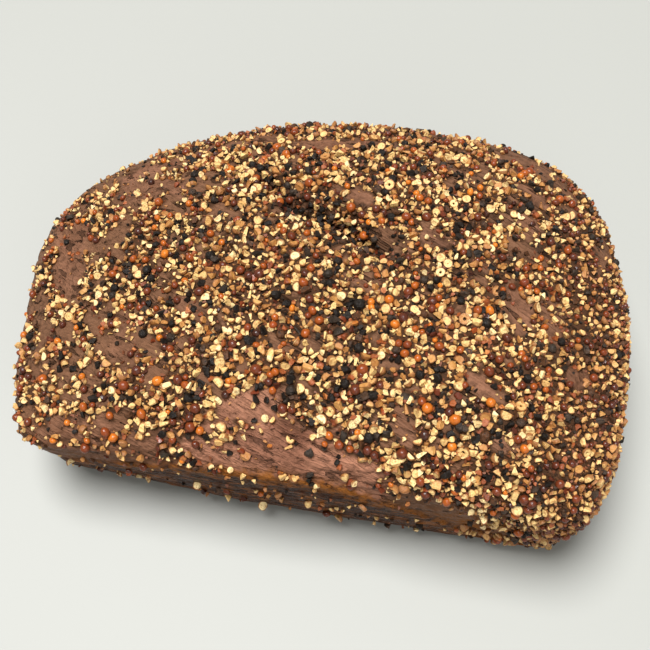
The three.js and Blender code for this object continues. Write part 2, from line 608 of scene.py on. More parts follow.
@dataclass(frozen=True)
class BlackPepperFinish:
    """Black pepper husk: wrinkled, dull, near black with greyer and browner grains, with painted shade in its
    wrinkles' grooves and painted highlights on their ridges.
    """

    coal_and_groove_shade: Colour = colour(25, 19, 14)
    slate_and_ridge_highlight: Colour = colour(60, 48, 38)
    umber: Colour = colour(84, 52, 30)
    wrinkles: Pattern = Pattern(0.8, roughness=0.6, twist=0.8)
    wrinkle_depth_mm: float = 0.45
    roughness: float = 0.5
    shine: float = 0.22

    def build(self) -> bpy.types.Material:
        """Writes the material.

        Returns:
            The black pepper material.
        """
        sheet = ShaderSheet("black_pepper")
        stops = [(0.0, self.coal_and_groove_shade), (0.5, self.coal_and_groove_shade), (0.7, self.slate_and_ridge_highlight), (0.9, self.umber)]
        hull = sheet.ramp(sheet.attribute("tint"), stops)
        wrinkle = sheet.noise(self.wrinkles)
        # Painted shade: the wrinkles' grooves are near black.
        tone = sheet.mix(sheet.spread(wrinkle, 0.35, 0.5), self.coal_and_groove_shade, hull)
        # Painted highlight: the wrinkles' ridges are lightened towards slate grey.
        tone = sheet.mix(sheet.spread(wrinkle, 0.56, 0.7, 0.0, 0.5), tone, self.slate_and_ridge_highlight)
        wrinkled = sheet.bump(wrinkle, self.wrinkle_depth_mm)
        return sheet.dress(base_color=tone, roughness=self.roughness, normal=wrinkled,
                           specular_ior_level=self.shine)


@dataclass(frozen=True)
class CrumbFinish:
    """Fine bits of pepper and seed: cream, tan and rust."""

    cream: Colour = colour(222, 184, 120)
    tan: Colour = colour(166, 112, 60)
    rust: Colour = colour(112, 62, 34)
    grit: Pattern = Pattern(0.3, detail=2.0)
    grit_depth_mm: float = 0.1
    roughness: float = 0.6

    def build(self) -> bpy.types.Material:
        """Writes the material.

        Returns:
            The crumb material.
        """
        sheet = ShaderSheet("pepper_crumb")
        stops = [(0.0, self.cream), (0.3, self.tan), (0.62, self.rust)]
        tone = sheet.ramp(sheet.attribute("tint"), stops, steps=True)
        grit = sheet.noise(self.grit)
        shaded = sheet.mix(sheet.spread(grit, 0.4, 0.7, 0.0, 0.4), tone, self.rust)
        gritty = sheet.bump(grit, self.grit_depth_mm)
        return sheet.dress(base_color=shaded, roughness=self.roughness, normal=gritty)


@dataclass(frozen=True)
class CounterFinish:
    """The plain pale surface that the loaf rests on."""

    white: Colour = colour(152, 153, 148)
    roughness: float = 0.55

    def build(self) -> bpy.types.Material:
        """Writes the material.

        Returns:
            The counter material.
        """
        return ShaderSheet("pale_counter").dress(base_color=self.white, roughness=self.roughness)


# ---- Crust ----------------------------------------------------------------------------------------------


@dataclass(frozen=True)
class Ease:
    """Where something sets in and where it is full. Full may be the smaller of the two."""

    start: float
    full: float

    def __call__(self, values: np.ndarray) -> np.ndarray:
        """Eases values from 0 at the start to 1 where it is full."""
        return smooth_step(values, self.start, self.full)


@dataclass(frozen=True)
class Patch:
    """A bare oval on the crown, with its middle and half-lengths in millimetres."""

    x: float
    y: float
    long: float
    short: float
    turn: float = FIBRE_TURN
    bareness: float = 1.0
    rosiness: float = 0.3
    fray: float = 0.75
    fade: Ease = Ease(1.2, 0.75)

    def cover(self, x: np.ndarray, y: np.ndarray, ragged: np.ndarray) -> np.ndarray:
        """How much of the patch is at each place.

        Args:
            x: Places along the loaf, in millimetres.
            y: Places across it, in millimetres.
            ragged: Noise that breaks up the patch's edge.

        Returns:
            0 outside to bareness inside.
        """
        c = math.cos(math.radians(self.turn))
        s = math.sin(math.radians(self.turn))
        along = ((x - self.x) * c + (y - self.y) * s) / self.long
        across = ((y - self.y) * c - (x - self.x) * s) / self.short
        return self.bareness * self.fade(np.hypot(along, across) + self.fray * ragged)


@dataclass(frozen=True)
class SkinPoints:
    """The crust's vertices in millimetres, their normals, and the noise that frays the borders of fields."""

    place: np.ndarray
    normal: np.ndarray
    noise: SolidNoise
    ragged: np.ndarray

    @property
    def x(self) -> np.ndarray:
        """Places along the loaf."""
        return self.place[:, 0]

    @property
    def y(self) -> np.ndarray:
        """Places across the loaf."""
        return self.place[:, 1]

    @property
    def z(self) -> np.ndarray:
        """Heights."""
        return self.place[:, 2]

    @property
    def nearward(self) -> np.ndarray:
        """How far each vertex faces the near side, -1 to 1."""
        return -self.normal[:, 1]

    def pattern(self, step_mm: float, shift: float) -> np.ndarray:
        """Layered noise of the given step, read from a part of the lattice of its own."""
        return self.noise.layered(self.place / step_mm + shift)


@dataclass(frozen=True)
class Crease:
    """The cleft in the crown: its way in plan, and how far its hollow and its shade reach."""

    path: tuple[tuple[float, float], ...] = ((-27, 35), (-20, 29), (-13, 23), (-3, 19), (8, 14), (17, 9))
    depth_mm: float = 6.5
    half_width_mm: float = 2.9
    shade_widths: float = 1.6
    fray_mm: float = 2.0
    heights: Ease = Ease(45, 55)

    def reach(self, skin: SkinPoints, widths: float = 1.0) -> np.ndarray:
        """How deep in the crease each vertex is.

        Args:
            skin: The crust's vertices.
            widths: How many times its own width the crease counts for.

        Returns:
            0 away from it to 1 along its middle.
        """
        away = self._distance(skin.x + self.fray_mm * skin.ragged, skin.y + self.fray_mm * skin.ragged)
        return np.exp(-(away / (widths * self.half_width_mm)) ** 2) * self.heights(skin.z)

    def _distance(self, x: np.ndarray, y: np.ndarray) -> np.ndarray:
        """Distance in plan to the crease's path.

        Args:
            x: Places along the loaf, in millimetres.
            y: Places across it, in millimetres.

        Returns:
            The distances in millimetres.
        """
        nearest = np.full(len(x), np.inf)
        for (ax, ay), (bx, by) in zip(self.path, self.path[1:]):
            run = np.array([bx - ax, by - ay], dtype=float)
            share = np.clip(((x - ax) * run[0] + (y - ay) * run[1]) / (run @ run), 0.0, 1.0)
            nearest = np.minimum(nearest, np.hypot(x - ax - share * run[0], y - ay - share * run[1]))
        return nearest


@dataclass(frozen=True)
class NearFlank:
    """The bare, steep near wall under its lip, with the ochre that stains it."""

    lip_line: tuple[tuple[float, float], ...] = (
        (-96, 8), (-69, 34), (-58, 40), (-30, 49), (-5, 53), (17, 50), (38, 42), (53, 29), (69, 8),
    )
    facing: Ease = Ease(0.35, 0.75)
    lip_fray_mm: float = 2.5
    lip_fade_mm: float = 1.5
    foot_facing: Ease = Ease(-0.1, 0.5)
    foot_heights: Ease = Ease(7.0, 2.0)
    foot_fray_mm: float = 2.0
    stain_middle: tuple[float, float] = (66, 30)
    stain_mm: float = 18.0
    stain_side: Ease = Ease(56, 64)
    edge_facing: Ease = Ease(0.25, 0.55)
    edge_run: Ease = Ease(-80, -50)
    edge_below_lip_mm: float = 2.0
    edge_mm: float = 3.5

    def lip(self, skin: SkinPoints) -> np.ndarray:
        """Height of the lip at each vertex's place along the loaf."""
        return np.interp(skin.x, *zip(*self.lip_line))

    def cover(self, skin: SkinPoints) -> np.ndarray:
        """How much of the flank is at each vertex.

        Args:
            skin: The crust's vertices.

        Returns:
            0 to 1.
        """
        lip = self.lip(skin)
        under_lip = smooth_step(skin.z + self.lip_fray_mm * skin.ragged, lip + self.lip_fade_mm,
                                lip - self.lip_fade_mm)
        foot = self.foot_heights(skin.z + self.foot_fray_mm * skin.ragged)
        return np.maximum(self.facing(skin.nearward) * under_lip, foot * self.foot_facing(skin.nearward))

    def stain(self, skin: SkinPoints) -> np.ndarray:
        """Works out the round ochre stain near the right end.

        Args:
            skin: The crust's vertices.

        Returns:
            0 to 1.
        """
        x, z = self.stain_middle
        spot = np.exp(-((skin.x - x) / self.stain_mm) ** 2 - ((skin.z - z) / self.stain_mm) ** 2)
        return spot * self.stain_side(-skin.y)

    def lip_stain(self, skin: SkinPoints) -> np.ndarray:
        """The ochre line just under the lip, 0 to 1."""
        below = (skin.z - self.lip(skin) + self.edge_below_lip_mm) / self.edge_mm
        return np.exp(-below ** 2) * self.edge_facing(skin.nearward) * self.edge_run(skin.x)


@dataclass(frozen=True)
class ToppingSpread:
    """Where the topping lies thick or thin, dark or pale, fine or coarse, with places in millimetres."""

    clump_mm: float = 7.0
    clump_edge: Ease = Ease(-0.08, 0.08)
    fill: float = 0.3
    less_at_left: float = 0.26
    more_at_right: float = 0.3
    less_at_far_right: float = 0.32
    left: Ease = Ease(-20, -85)
    right: Ease = Ease(55, 90)
    far_right: tuple[Ease, Ease] = (Ease(30, 75), Ease(10, 50))
    least_upward: float = 0.15
    more_upward_at_left: float = 0.34
    more_upward_far: float = 0.2
    flat_left: tuple[Ease, Ease] = (Ease(-30, -85), Ease(-64, -40))
    farward: Ease = Ease(0.2, 0.6)
    upward: Ease = Ease(0.0, 0.25)
    upward_fray: float = 0.15
    wall_fray_mm: float = 5.0
    right_wall: Ease = Ease(0.3, 0.6)
    right_wall_heights: Ease = Ease(12.0, 34.0)
    near_right: tuple[Ease, Ease] = (Ease(50, 78), Ease(40, 60))
    near_right_fray_mm: float = 6.0
    near_right_heights: Ease = Ease(3.0, 10.0)
    near_right_cover: float = 0.7
    off_bare: float = 0.93
    off_flank: float = 0.97
    off_stain: float = 0.8
    strays: float = 0.025
    far_strays: float = 0.2
    stray_side: Ease = Ease(10, 45)
    stray_mm: float = 11.0
    stray_edge: Ease = Ease(-0.1, 0.3)
    stray_heights: Ease = Ease(4.0, 12.0)
    darkness: float = 0.24
    dark_step_mm: float = 6.0
    dark_sway: float = 0.5
    darker_in_shade: float = 0.44
    dark_range: tuple[float, float] = (0.05, 0.92)
    brown_right: Ease = Ease(66, 98)
    browner_right: float = 0.5
    brown_far: Ease = Ease(45, 66)
    browner_far: float = 0.3
    browner_in_crease: float = 0.3
    most_brown: float = 0.6
    finer_left: tuple[float, Ease] = (0.12, Ease(-30, -90))
    finer_right: tuple[float, Ease] = (0.2, Ease(66, 98))
    finer_far: tuple[float, Ease] = (0.1, Ease(40, 65))
    coarser_near: tuple[float, Ease] = (0.12, Ease(5, 50))

    def coat(self, skin: SkinPoints, bare: np.ndarray, flank: np.ndarray, stain: np.ndarray) -> np.ndarray:
        """How thickly the topping lies.

        Args:
            skin: The crust's vertices.
            bare: Bare patches, 0 to 1.
            flank: Bare flank, 0 to 1.
            stain: Stained flank, 0 to 1.

        Returns:
            0 for none to 1 for all that fits.
        """
        rightward, farward = self.far_right
        fill = self.fill - self.less_at_left * self.left(skin.x) + self.more_at_right * self.right(skin.x)
        fill = fill - self.less_at_far_right * (rightward(skin.x) * farward(skin.y))
        strewn = self.clump_edge(skin.pattern(self.clump_mm, 5.0) + fill)
        wall = self._wall(skin)
        coat = strewn * np.maximum(self._upward(skin), wall)
        coat = coat * (1.0 - self.off_bare * bare) * (1.0 - self.off_flank * flank * (1.0 - wall))
        far_strays = self.far_strays * self.stray_side(skin.y)
        strays = self.strays + far_strays * self.stray_edge(skin.pattern(self.stray_mm, 23.0))
        coat = np.maximum(coat, strays * self.stray_heights(skin.z))
        return coat * (1.0 - self.off_stain * stain)

    def dark(self, skin: SkinPoints, shade: np.ndarray) -> np.ndarray:
        """Works out the share of dark grains, which is higher in the crease's shade.

        Args:
            skin: The crust's vertices.
            shade: The crease's shade, 0 to 1.

        Returns:
            The share, within the dark range.
        """
        sway = self.dark_sway * skin.pattern(self.dark_step_mm, 17.0)
        return np.clip(self.darkness + sway + self.darker_in_shade * shade, *self.dark_range)

    def brown(self, skin: SkinPoints, crease: np.ndarray) -> np.ndarray:
        """Works out how far tints move to brown: at the right end, the far side and in the crease.

        Args:
            skin: The crust's vertices.
            crease: The crease, 0 to 1.

        Returns:
            0 for not at all to 1 for wholly brown.
        """
        brown = self.browner_right * self.brown_right(skin.x) + self.browner_far * self.brown_far(skin.y)
        return np.clip(brown + self.browner_in_crease * crease, 0, self.most_brown)

    def coarse(self, skin: SkinPoints) -> np.ndarray:
        """Works out the size of the grains: smaller at both ends and the far side, larger at the near side.

        Args:
            skin: The crust's vertices.

        Returns:
            What each grain's size is multiplied by.
        """
        size = np.ones(len(skin.place))
        for less, ease in (self.finer_left, self.finer_right):
            size = size - less * ease(skin.x)
        less, ease = self.finer_far
        more, near_ease = self.coarser_near
        return size - less * ease(skin.y) + more * near_ease(-skin.y)

    def _upward(self, skin: SkinPoints) -> np.ndarray:
        """Works out where the skin faces up enough for grains to lie on.

        Args:
            skin: The crust's vertices.

        Returns:
            0 where it is too steep to 1.
        """
        at_left, off_side = self.flat_left
        least = self.least_upward + self.more_upward_at_left * at_left(skin.x) * off_side(skin.y)
        least += self.more_upward_far * self.farward(skin.normal[:, 1])
        return self.upward(skin.normal[:, 2] + self.upward_fray * skin.ragged - least)

    def _wall(self, skin: SkinPoints) -> np.ndarray:
        """Works out where grains stick to the wall too: at the right end and its near corner.

        Args:
            skin: The crust's vertices.

        Returns:
            0 where none do to 1.
        """
        frayed = skin.z + self.wall_fray_mm * skin.ragged
        right_end = self.right_wall(skin.normal[:, 0]) * self.right_wall_heights(frayed)
        at_right, at_near = self.near_right
        corner = at_right(skin.x + self.near_right_fray_mm * skin.ragged) * at_near(-skin.y)
        return np.maximum(right_end, self.near_right_cover * corner * self.near_right_heights(frayed))


@dataclass(frozen=True)
class SkinRelief:
    """The skin's lumps, folds, fibres and cracks: their heights, and the steps of their noise."""

    inset_mm: float = 1.5
    bare_inset_mm: float = 0.5
    foot: Ease = Ease(0.5, 5.0)
    lump_mm: float = 1.1
    lump_step_mm: float = 24.0
    fold_mm: float = 0.9
    fold_step_mm: float = 6.5
    fold_middle: float = 0.3
    fibre_mm: float = 0.4
    fibre_step_mm: float = 3.0
    fibre_draw: float = 0.14
    crack_mm: float = 0.7
    crack_step_mm: float = 5.0
    crack_draw: float = 0.2
    crack_edge: Ease = Ease(0.09, 0.0)
    covered_crack: float = 0.35
    flank_smoothing: float = 0.6
    warp_mm: float = 5.0
    warp_step_mm: float = 18.0
    warp_shifts: tuple[float, float, float] = (3.0, 9.0, 15.0)

    def height(self, skin: SkinPoints, bare: np.ndarray, flank: np.ndarray) -> np.ndarray:
        """Adds up the relief.

        Args:
            skin: The crust's vertices.
            bare: Bare patches, 0 to 1.
            flank: Bare flank, 0 to 1.

        Returns:
            Height over the CAD solid in millimetres, mostly below 0.
        """
        noise, place = skin.noise, skin.place
        warp = np.column_stack([noise(place / self.warp_step_mm + shift) for shift in self.warp_shifts])
        warped = place + warp * self.warp_mm
        drawn = self._drawn_out(warped, self.fibre_draw)
        lumps = noise.layered(place / self.lump_step_mm + 2.0, 2) * self.lump_mm
        folds = (np.abs(noise(drawn / self.fold_step_mm)) - self.fold_middle) * self.fold_mm
        fibres = noise.layered(drawn / self.fibre_step_mm, 2) * self.fibre_mm
        crack_noise = noise(self._drawn_out(warped, self.crack_draw) / self.crack_step_mm + 8.0)
        cracks = -self.crack_edge(np.abs(crack_noise)) * self.crack_mm
        cracks = cracks * (self.covered_crack + (1.0 - self.covered_crack) * bare)
        relief = lumps + (folds + cracks) * (1.0 - self.flank_smoothing * flank) + fibres
        inset = self.inset_mm + (self.bare_inset_mm - self.inset_mm) * flank
        return (relief - inset) * self.foot(skin.z)

    @staticmethod
    def _drawn_out(place: np.ndarray, share: float) -> np.ndarray:
        """Draws places together along the fibres, so that noise sampled there comes out as streaks.

        Args:
            place: Places in millimetres.
            share: What is left of the distance along the fibres.

        Returns:
            The drawn places.
        """
        turn = math.radians(FIBRE_TURN)
        fibre = np.array([math.cos(turn), math.sin(turn), 0.0])
        return place - (1.0 - share) * (place @ fibre)[:, None] * fibre


@dataclass
class LoafCrust:
    """The block's skin: a refined copy of the CAD solid, set in under the topping and worked by its parts."""

    weld_mm: float = 0.001
    grid_mm: float = 0.95
    rounding_levels: int = 2
    base_mm: float = 0.35
    flat_mm: float = 0.3
    seed: int = 11
    ragged_mm: float = 7.0
    fray_mm: float = 2.6
    fray: float = 0.6
    crown_heights: Ease = Ease(30, 45)
    crease: Crease = Crease()
    flank: NearFlank = NearFlank()
    spread: ToppingSpread = ToppingSpread()
    relief: SkinRelief = SkinRelief()
    patches: tuple[Patch, ...] = (
        Patch(1, -62, 27, 8, -8, 1.0, 0.9),
        Patch(-14, -51, 13, 6, 10, 1.0, 0.75),
        Patch(-17, -66, 22, 5, -3, 0.95, 0.9),
        Patch(20, -65, 13, 5, -10, 1.0, 0.9),
        Patch(-62, -66, 32, 6, -3, 0.6, 0.45),
        Patch(-93, 3, 7, 18, 15),
        Patch(-72, 30, 7, 10, 40, 0.8),
        Patch(-60, -36, 5, 12, 25, 0.8),
        Patch(-60, 29, 8, 5, -20, 0.9),
        Patch(-41, -21, 8, 4, -30, 0.7),
        Patch(-5, 53, 15, 3, 5),
        Patch(7, 28, 8, 3, -15),
        Patch(35, 15, 7, 3, -30),
        Patch(66, -5, 4, 8, 20, 0.9),
        Patch(89, -24, 6, 4, 0, 0.9),
        Patch(57, -35, 7, 3, -25),
        Patch(34, -50, 3, 7, 25, 0.9),
        Patch(68, -51, 6, 3, 0, 0.9),
        Patch(70, 56, 17, 5, -38, 1.0, 0.15),
        Patch(66, 40, 8, 2.8, -35, 0.9),
        Patch(65, 27, 6, 4, -30, 0.9),
        Patch(40, 46, 10, 3.5, -42, 0.8, 0.1),
        Patch(95, 28, 4, 10, -8, 0.95, 0.1),
        Patch(68, 15, 7, 3.5, -20, 0.75, 0.0),
        Patch(78, -6, 4, 7, 20, 0.7),
        Patch(-33, 55, 13, 4, 12, 0.85),
        Patch(-68, 40, 13, 4, 24, 0.85, 0.5),
        Patch(14, -4, 8, 2.8, -25, 0.8),
    )
    piece: bpy.types.Object | None = field(default=None, init=False)

    def build(self) -> bpy.types.Object:
        """Makes the crust mesh and paints its attributes.

        Returns:
            The crust object.
        """
        self.piece = self._refined_copy()
        mesh = self.piece.data
        place = read_vectors(mesh.vertices, "co") / MM
        normal = read_vectors(mesh.vertex_normals, "vector")
        fields = self._fields(place, normal)
        moved = place + normal * fields.pop("height")[:, None]
        on_base = place[:, 2] < self.base_mm
        moved[on_base] = place[on_base]
        moved[:, 2] = np.maximum(moved[:, 2], 0.0)
        moved[on_base, 2] = 0.0
        mesh.vertices.foreach_set("co", (moved * MM).ravel())
        for name, values in fields.items():
            paint(mesh, name, values)
        mesh.polygons.foreach_set("use_smooth", np.ones(len(mesh.polygons), dtype=bool))
        mesh.update()
        return self.piece

    def dress(self, finish: CrustFinish) -> None:
        """Gives the crust its material.

        Args:
            finish: The crust's finish.
        """
        self.piece.data.materials.clear()
        self.piece.data.materials.append(finish.build())

    def _refined_copy(self) -> bpy.types.Object:
        """Copies the CAD node's mesh, smooths it and gives it an even grid of small faces.

        Returns:
            The new object, with a plain mesh.
        """
        mesh = frame["nodes"][LOAF_NODE].data.copy()
        work = bmesh.new()
        work.from_mesh(mesh)
        bmesh.ops.remove_doubles(work, verts=work.verts, dist=self.weld_mm * MM)
        work.to_mesh(mesh)
        work.free()
        piece = bpy.data.objects.new("loaf_crust", mesh)
        bpy.context.collection.objects.link(piece)
        rounding = piece.modifiers.new("rounding", "SUBSURF")
        rounding.levels = self.rounding_levels
        rounding.render_levels = self.rounding_levels
        even_grid = piece.modifiers.new("even_grid", "REMESH")
        even_grid.mode = "VOXEL"
        even_grid.voxel_size = self.grid_mm * MM
        settle_modifiers(piece)
        self._close_base(piece.data)
        return piece

    def _close_base(self, mesh: bpy.types.Mesh) -> None:
        """Replaces the flat middle of the underside, which needs no detail, by one plain face.

        Args:
            mesh: The even grid.
        """
        work = bmesh.new()
        work.from_mesh(mesh)
        low = self.flat_mm * MM
        flat = {face for face in work.faces if all(vertex.co.z < low for vertex in face.verts)}
        inner = [face for face in work.faces if face in flat
                 and all(near in flat for edge in face.edges for near in edge.link_faces)]
        bmesh.ops.delete(work, geom=inner, context="FACES")
        rim = [edge for edge in work.edges if edge.is_boundary]
        for vertex in {vertex for edge in rim for vertex in edge.verts}:
            vertex.co.z = 0.0
        bmesh.ops.holes_fill(work, edges=rim, sides=0)
        bmesh.ops.triangulate(work, faces=[face for face in work.faces if len(face.verts) > 4])
        bmesh.ops.recalc_face_normals(work, faces=work.faces)
        work.to_mesh(mesh)
        work.free()

    def _fields(self, place: np.ndarray, normal: np.ndarray) -> dict[str, np.ndarray]:
        """Works out the height of the skin's relief and what grows or shows where.

        Args:
            place: Vertex places in millimetres.
            normal: Vertex normals.

        Returns:
            height in millimetres, and the painted fields, each 0 to 1 but for coarse, which is about 1.
        """
        noise = SolidNoise(self.seed)
        skin = SkinPoints(place, normal, noise, noise.layered(place / self.ragged_mm))
        crease = self.crease.reach(skin)
        flank = self.flank.cover(skin)
        bare, rosy = self._bare_patches(skin)
        stain = self.flank.stain(skin)
        shade = self.crease.reach(skin, self.crease.shade_widths)
        return {
            "height": self.relief.height(skin, bare, flank) - crease * self.crease.depth_mm,
            "coat": np.clip(self.spread.coat(skin, bare, flank, stain), 0, 1),
            "rosy": np.clip(rosy, 0, 1),
            "flank": np.clip(flank, 0, 1),
            "crease": np.clip(crease, 0, 1),
            "ochre": np.clip(np.maximum(stain, self.flank.lip_stain(skin)), 0, 1),
            "dark": self.spread.dark(skin, shade),
            "brown": self.spread.brown(skin, crease),
            "coarse": self.spread.coarse(skin),
        }

    def _bare_patches(self, skin: SkinPoints) -> tuple[np.ndarray, np.ndarray]:
        """Joins the patches.

        Args:
            skin: The crust's vertices.

        Returns:
            How bare and how rosy each vertex is, each 0 to 1.
        """
        bare = np.zeros(len(skin.place))
        rosy = np.zeros(len(skin.place))
        on_crown = self.crown_heights(skin.z)
        frayed = skin.ragged + self.fray * skin.noise(skin.place / self.fray_mm + 40.0)
        for patch in self.patches:
            bare = np.maximum(bare, patch.cover(skin.x, skin.y, frayed) * on_crown)
            rosy = np.maximum(rosy, patch.cover(skin.x, skin.y, skin.ragged) * patch.rosiness)
        return bare, rosy


def read_vectors(items: bpy.types.bpy_prop_collection, name: str) -> np.ndarray:
    """Reads a vector of every item as an N by 3 array.

    Args:
        items: A mesh's vertices or vertex normals.
        name: The vector's name.

    Returns:
        The vectors.
    """
    flat = np.empty(len(items) * 3)
    items.foreach_get(name, flat)
    return flat.reshape(-1, 3)


def paint(mesh: bpy.types.Mesh, name: str, values: np.ndarray) -> None:
    """Stores one number for each vertex.

    Args:
        mesh: The mesh.
        name: The attribute's name.
        values: One number for each vertex.
    """
    attribute = mesh.attributes.new(name, "FLOAT", "POINT")
    attribute.data.foreach_set("value", values.astype(np.float32))


def settle_modifiers(piece: bpy.types.Object) -> None:
    """Turns what the modifiers make into the object's plain mesh, and removes them.

    Args:
        piece: A linked mesh object.
    """
    graph = bpy.context.evaluated_depsgraph_get()
    evaluated = piece.evaluated_get(graph)
    made = bpy.data.meshes.new_from_object(evaluated, preserve_all_data_layers=True, depsgraph=graph)
    piece.modifiers.clear()
    before = piece.data
    piece.data = made
    if before.users == 0:
        bpy.data.meshes.remove(before)
    made.name = piece.name


# ---- Grain shapes ---------------------------------------------------------------------------------------


class GrainForm(Enum):
    """The forms that pepper and seeds take on the loaf."""

    CHUNK = "chunk"
    DARK_CHUNK = "dark_chunk"
    HALF = "half"
    SLICE = "slice"
    RING = "ring"
    CRESCENT = "crescent"
    SEED = "seed"
    SPLINTER = "splinter"
    CORN = "corn"
    CRUMB = "crumb"


@dataclass
class GrainShapes:
    """Makes the few variants of each form that the scatter repeats, each one unit in radius."""

    seed: int = 5
    counts: dict[GrainForm, int] = field(default_factory=lambda: {
        GrainForm.CHUNK: 24,
        GrainForm.DARK_CHUNK: 12,
        GrainForm.HALF: 6,
        GrainForm.SLICE: 5,
        GrainForm.RING: 3,
        GrainForm.CRESCENT: 3,
        GrainForm.SEED: 5,
        GrainForm.SPLINTER: 8,
        GrainForm.CORN: 5,
        GrainForm.CRUMB: 8,
    })
    bins: dict[GrainForm, bpy.types.Collection] = field(default_factory=dict, init=False)

    def build(self) -> None:
        """Fills one collection of variants for each form."""
        rng = np.random.default_rng(self.seed)
        makers = {
            GrainForm.CHUNK: lambda: self._broken(rng, int(rng.integers(2, 5)), wrinkle=0.06),
            GrainForm.DARK_CHUNK: lambda: self._broken(rng, int(rng.integers(2, 5)), wrinkle=0.12),
            GrainForm.HALF: lambda: self._broken(rng, 1, wrinkle=0.05),
            GrainForm.SLICE: lambda: self._cut(rng, self._slice_planes(rng), wrinkle=0.05),
            GrainForm.RING: lambda: self._ring(rng, 1.0),
            GrainForm.CRESCENT: lambda: self._ring(rng, rng.uniform(0.5, 0.62)),
            GrainForm.SEED: lambda: self._cut(rng, [], wrinkle=0.03, least_girth=0.74),
            GrainForm.SPLINTER: lambda: self._broken(rng, 4),
            GrainForm.CORN: lambda: self._cut(rng, [], wrinkle=0.06, rounds=3),
            GrainForm.CRUMB: lambda: self._crumb(rng),
        }
        for form, count in self.counts.items():
            grain_bin = bpy.data.collections.new(f"bin_{form.value}")
            self.bins[form] = grain_bin
            for index in range(count):
                mesh = makers[form]()
                mesh.name = f"{form.value}_{index}"
                grain_bin.objects.link(bpy.data.objects.new(mesh.name, mesh))
        LOG.info("made %d grain variants", sum(self.counts.values()))

    def clear(self) -> None:
        """Removes the variants once the topping has been made from them."""
        for grain_bin in self.bins.values():
            for variant in list(grain_bin.objects):
                mesh = variant.data
                bpy.data.objects.remove(variant)
                bpy.data.meshes.remove(mesh)
            bpy.data.collections.remove(grain_bin)
        self.bins.clear()

    def _broken(self, rng: np.random.Generator, cuts: int, wrinkle: float = 0.03) -> bpy.types.Mesh:
        """Breaks a peppercorn along random planes. The first broken face points up, so that the inside shows.

        Args:
            rng: Random numbers.
            cuts: How many planes.
            wrinkle: Unevenness of the skin.

        Returns:
            The chunk's mesh.
        """
        first = Vector((rng.normal(0, 0.25), rng.normal(0, 0.25), 1.0)).normalized()
        planes = [(first, rng.uniform(0.05, 0.4))]
        turn = rng.uniform(0, 2 * math.pi)
        for _ in range(cuts - 1):
            turn += 2 * math.pi / max(cuts - 1, 2) + rng.uniform(-0.45, 0.45)
            lean = rng.uniform(-0.3, 0.5)
            outward = Vector((math.cos(turn), math.sin(turn), lean)).normalized()
            planes.append((outward, rng.uniform(0.1, 0.55)))
        return self._cut(rng, planes, wrinkle)

    @staticmethod
    def _slice_planes(rng: np.random.Generator) -> list[tuple[Vector, float]]:
        """Draws the cuts of a slice: one above, one below and one that takes a piece off its side.

        Args:
            rng: Random numbers.

        Returns:
            Outward directions and distances of the cuts.
        """
        turn = rng.uniform(0, 2 * math.pi)
        side = Vector((math.cos(turn), math.sin(turn), rng.uniform(-0.4, 0.4))).normalized()
        above = (Vector((0, 0, 1)), 0.28)
        below = (Vector((0.1, 0, -1)).normalized(), 0.24)
        return [above, below, (side, rng.uniform(0.3, 0.95))]

    @staticmethod
    def _cut(rng: np.random.Generator, planes: list[tuple[Vector, float]], wrinkle: float = 0.03,
             rounds: int = 2, least_girth: float = 0.9) -> bpy.types.Mesh:
        """Makes a grain from a slightly uneven ball, cut by planes.

        Args:
            rng: Random numbers.
            planes: Outward directions and distances of the cuts from the ball's middle.
            wrinkle: Unevenness of the skin.
            rounds: Fineness of the ball.
            least_girth: How flat the ball may be, as a share of its width.

        Returns:
            The grain's mesh, which keeps the place inside the ball as its grain attribute.
        """
        work = bmesh.new()
        bmesh.ops.create_icosphere(work, subdivisions=rounds, radius=1.0)
        work.transform(Matrix.Rotation(rng.uniform(0, math.pi), 4, Vector(rng.normal(size=3)).normalized()))
        for vertex in work.verts:
            vertex.co *= 1.0 + rng.normal(0, wrinkle)
        girth = (rng.uniform(0.92, 1.08), rng.uniform(0.92, 1.08), rng.uniform(least_girth, 1.0))
        work.transform(Matrix.Diagonal((*girth, 1.0)))
        for direction, distance in planes:
            everything = list(work.verts) + list(work.edges) + list(work.faces)
            bmesh.ops.bisect_plane(work, geom=everything, plane_co=direction * distance, plane_no=direction,
                                   clear_outer=True, dist=1e-4)
            open_edges = [edge for edge in work.edges if edge.is_boundary]
            broken = bmesh.ops.holes_fill(work, edges=open_edges, sides=0)["faces"]
            bmesh.ops.poke(work, faces=broken, offset=rng.uniform(-0.22, 0.24))
        return finish_grain(work)

    @staticmethod
    def _ring(rng: np.random.Generator, share: float) -> bpy.types.Mesh:
        """Makes a cross-section through a hollow peppercorn, whole or broken to a crescent.

        Args:
            rng: Random numbers.
            share: How much of the full turn it keeps.

        Returns:
            The ring's mesh.
        """
        inner = rng.uniform(0.15, 0.25)
        rim, bevel, half_height = 0.93, 0.06, 0.26
        section = [(1.0, 0.0), (rim, half_height), (inner + bevel, half_height * 0.85), (inner, 0.0),
                   (inner + bevel, -half_height), (rim, -half_height)]
        steps = 12 if share >= 1.0 else 8
        work = bmesh.new()
        rows = []
        for step in range(steps if share >= 1.0 else steps + 1):
            turn = 2 * math.pi * share * step / steps
            swell = 1.0 + rng.normal(0, 0.03)
            swollen = [(out * swell, height) for out, height in section]
            rows.append([work.verts.new((out * math.cos(turn), out * math.sin(turn), height))
                         for out, height in swollen])
        pairs = list(zip(rows, rows[1:]))
        if share >= 1.0:
            pairs.append((rows[-1], rows[0]))
        else:
            work.faces.new(rows[0])
            work.faces.new(list(reversed(rows[-1])))
        for near, far in pairs:
            for index in range(len(section)):
                after = (index + 1) % len(section)
                work.faces.new((near[index], far[index], far[after], near[after]))
        return finish_grain(work)

